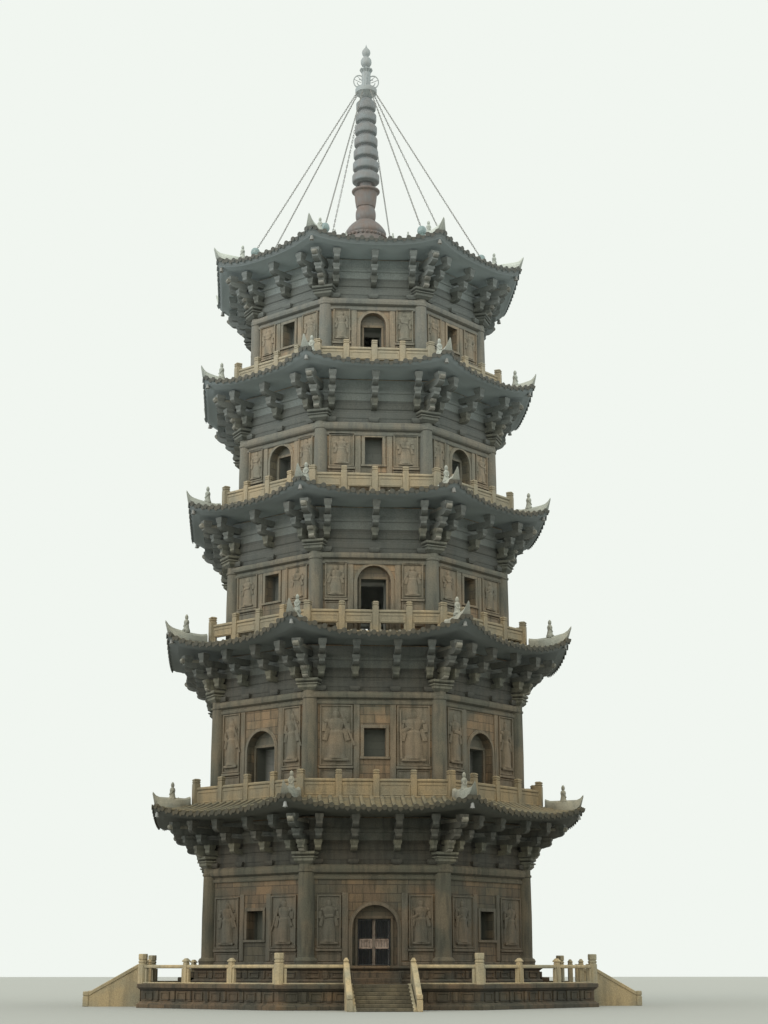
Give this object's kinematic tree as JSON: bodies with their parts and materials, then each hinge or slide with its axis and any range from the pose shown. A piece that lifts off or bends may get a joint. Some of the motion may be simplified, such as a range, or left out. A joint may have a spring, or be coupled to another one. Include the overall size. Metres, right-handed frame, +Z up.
{
  "type": "octagonal stone pagoda, 1:2 scale model",
  "caption": "Tall octagonal stone tower with upswept tiled eaves, balcony railings, arched doorways, a barred gate, and an iron ring finial held by stays.",
  "frame": {"origin": "centre of the plan on the ground plane", "axes": "+Z up; the front side with the barred gate faces -Y; +X to the right of someone facing the gate"},
  "size_m": [12.475, 12.475, 24.12],
  "materials": {
    "granite": "dressed granite, weathered",
    "dark_granite": "granite darkened by lichen and rain",
    "pale_granite": "pale dressed granite",
    "tile": "carved stone roof tiles, weathered",
    "iron": "cast iron, rusted",
    "gate_iron": "painted iron bars"
  },
  "bodies": {
    "root": {"terrace": "granite", "plinth": "granite", "steps_front": "pale_granite", "terrace_railing_front_right": "pale_granite", "steps_right": "pale_granite", "terrace_railing_right_back": "pale_granite", "steps_back": "pale_granite", "terrace_railing_back_left": "pale_granite", "steps_left": "pale_granite", "terrace_railing_left_front": "pale_granite", "wall_1": "granite", "columns_1": "dark_granite", "brackets_1": "dark_granite", "roof_1": "tile", "wall_2": "granite", "columns_2": "dark_granite", "brackets_2": "dark_granite", "roof_2": "tile", "floor_2": "granite", "railing_2": "pale_granite", "wall_3": "granite", "columns_3": "dark_granite", "brackets_3": "dark_granite", "roof_3": "tile", "floor_3": "granite", "railing_3": "pale_granite", "wall_4": "granite", "columns_4": "dark_granite", "brackets_4": "dark_granite", "roof_4": "tile", "floor_4": "granite", "railing_4": "pale_granite", "wall_5": "granite", "columns_5": "dark_granite", "brackets_5": "dark_granite", "roof_5": "tile", "floor_5": "granite", "railing_5": "pale_granite", "finial_base": "iron", "finial_rings": "iron", "finial_disc": "iron", "finial_crown": "iron", "finial_gourd": "iron", "stay_1": "iron", "stay_2": "iron", "stay_3": "iron", "stay_4": "iron", "stay_5": "iron", "stay_6": "iron", "stay_7": "iron", "stay_8": "iron"},
    "left_leaf": {"gate_leaf_left": "gate_iron"},
    "right_leaf": {"gate_leaf_right": "gate_iron"}
  },
  "joints": [
    {"name": "left_leaf_hinge", "type": "hinge", "parent": "root", "child": "left_leaf", "pos_m": [-0.326, -3.22, 0.865], "axis": [0, 0, 1], "range_deg": [0, 90]},
    {"name": "right_leaf_hinge", "type": "hinge", "parent": "root", "child": "right_leaf", "pos_m": [0.326, -3.22, 0.865], "axis": [0, 0, -1], "range_deg": [0, 90]}
  ]
}
